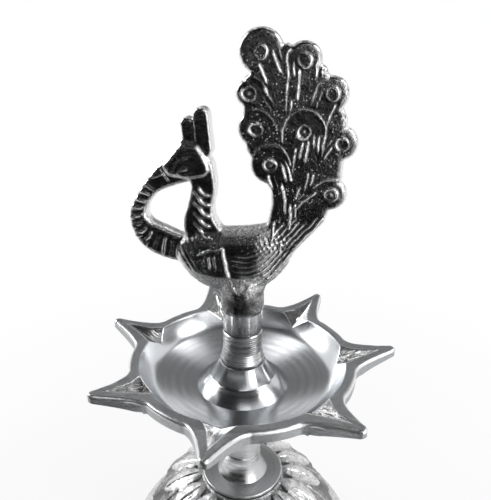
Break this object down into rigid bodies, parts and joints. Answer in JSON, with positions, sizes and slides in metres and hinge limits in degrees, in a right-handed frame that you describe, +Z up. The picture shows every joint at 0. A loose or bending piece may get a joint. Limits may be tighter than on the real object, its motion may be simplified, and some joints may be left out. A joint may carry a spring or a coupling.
{
  "type": "standing oil lamp",
  "caption": "Standing oil lamp: hollow foot, turned stem, dish with pointed wick spouts, short column and a peacock finial, all screwed together.",
  "frame": {"origin": "middle of the foot's underside, on the table", "axes": "+Z up along the stem; the peacock looks along -X, and its tail is on the +X side"},
  "size_m": [0.1169, 0.1153, 0.2113],
  "materials": {
    "cast_aluminium": "cast with petals in relief, tumbled bright",
    "turned_aluminium": "turned, with fine turning lines",
    "polished_aluminium": "turned and buffed inside, ground rim",
    "figure_aluminium": "cast relief, buffed on the ridges, dark in the hollows",
    "zinc_plated_steel": "threaded, zinc plated",
    "black_fibre": "pressed black fibre"
  },
  "bodies": {
    "foot": {"foot": "cast_aluminium", "foot_stud": "zinc_plated_steel", "foot_nut_washer": "zinc_plated_steel", "foot_nut": "zinc_plated_steel"},
    "stem_washer": {"stem_washer": "black_fibre"},
    "stem": {"stem": "turned_aluminium", "stem_stud": "zinc_plated_steel"},
    "bowl_gasket": {"bowl_gasket": "black_fibre"},
    "bowl": {"bowl": "polished_aluminium"},
    "column_washer": {"column_washer": "black_fibre"},
    "column": {"column": "turned_aluminium", "column_stud": "zinc_plated_steel"},
    "finial_washer": {"finial_washer": "black_fibre"},
    "finial": {"peacock": "figure_aluminium", "finial_stud": "zinc_plated_steel"}
  },
  "joints": [
    {"name": "stem_turn", "type": "hinge", "parent": "foot", "child": "stem_washer", "pos_m": [0, 0, 0.034], "axis": [0, 0, 1], "range_deg": [0, 3600]},
    {"name": "stem_lift", "type": "slide", "parent": "stem_washer", "child": "stem", "axis": [0, 0, 1], "range_m": [0, 0.0125]},
    {"name": "bowl_turn", "type": "hinge", "parent": "stem", "child": "bowl_gasket", "pos_m": [0, 0, 0.0736], "axis": [0, 0, 1], "range_deg": [0, 2160]},
    {"name": "bowl_lift", "type": "slide", "parent": "bowl_gasket", "child": "bowl", "axis": [0, 0, 1], "range_m": [0, 0.0075]},
    {"name": "column_turn", "type": "hinge", "parent": "bowl", "child": "column_washer", "pos_m": [0, 0, 0.091], "axis": [0, 0, 1], "range_deg": [0, 2160]},
    {"name": "column_lift", "type": "slide", "parent": "column_washer", "child": "column", "axis": [0, 0, 1], "range_m": [0, 0.0075]},
    {"name": "finial_turn", "type": "hinge", "parent": "column", "child": "finial_washer", "pos_m": [0, 0, 0.1041], "axis": [0, 0, 1], "range_deg": [0, 1800]},
    {"name": "finial_lift", "type": "slide", "parent": "finial_washer", "child": "finial", "axis": [0, 0, 1], "range_m": [0, 0.00625]}
  ],
  "couplings": [
    {"joint": "stem_turn", "follows": "stem_lift", "rad_per_m": 5026.5},
    {"joint": "bowl_turn", "follows": "bowl_lift", "rad_per_m": 5026.5},
    {"joint": "column_turn", "follows": "column_lift", "rad_per_m": 5026.5},
    {"joint": "finial_turn", "follows": "finial_lift", "rad_per_m": 5026.5}
  ]
}
